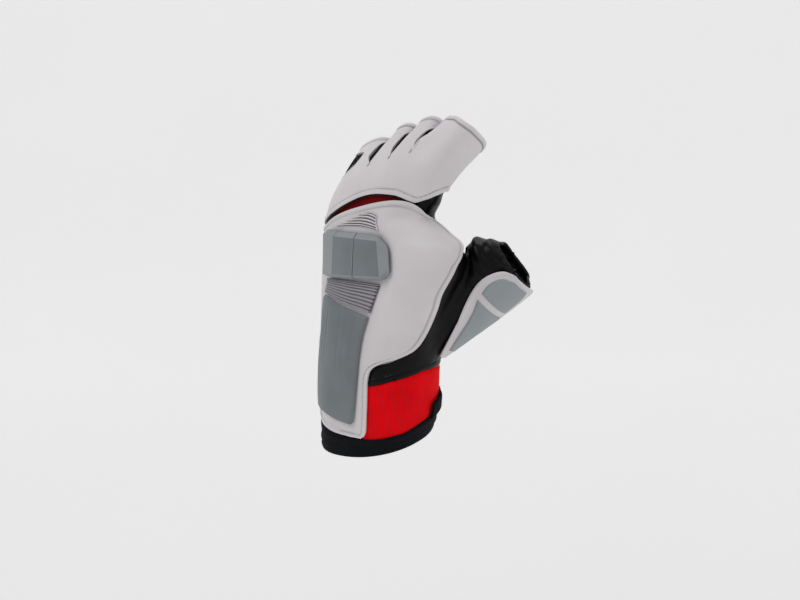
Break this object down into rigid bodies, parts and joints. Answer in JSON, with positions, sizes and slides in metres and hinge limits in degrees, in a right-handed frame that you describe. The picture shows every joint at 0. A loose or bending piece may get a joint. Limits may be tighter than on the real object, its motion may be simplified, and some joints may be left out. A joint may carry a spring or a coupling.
{
  "type": "shooting glove",
  "caption": "Left-hand fingerless shooting glove in its worn form: white back panels, black leather palm and thumb, red knit wrist, grey moulded guard.",
  "frame": {"origin": "centre of the wrist opening at the cuff's rim", "axes": "+Z from the wrist to the fingers, -Y the back of the hand, +X the thumb side"},
  "size_m": [0.1256, 0.086, 0.1996],
  "materials": {
    "white_leather": "satin",
    "black_leather": "semi-gloss",
    "red_knit": "matt knit",
    "black_knit": "matt knit",
    "black_mesh": "open mesh",
    "guard_grey": "satin",
    "guard_pale": "satin"
  },
  "bodies": {
    "root": {"cuff": "black_knit", "wrist_knit": "red_knit", "wrist_strap": "black_knit", "back_panel": "white_leather", "palm": "black_leather", "thumb_sleeve": "black_leather", "knuckle_knit": "red_knit", "side_gusset": "black_leather", "finger_panel": "white_leather", "finger_sleeve_little": "black_leather", "finger_sleeve_ring": "black_leather", "finger_sleeve_middle": "black_leather", "finger_sleeve_index": "black_leather", "finger_mesh_little": "black_mesh", "finger_mesh_ring": "black_mesh", "finger_mesh_middle": "black_mesh", "guard_plate": "guard_grey", "lower_ribs": "guard_grey", "upper_ribs": "guard_pale", "guard_block_ulnar": "guard_grey", "guard_block_centre": "guard_grey", "guard_block_radial": "guard_grey", "thumb_pad": "white_leather", "thumb_inlay_base": "guard_grey", "thumb_inlay_tip": "guard_grey"}
  },
  "joints": []
}
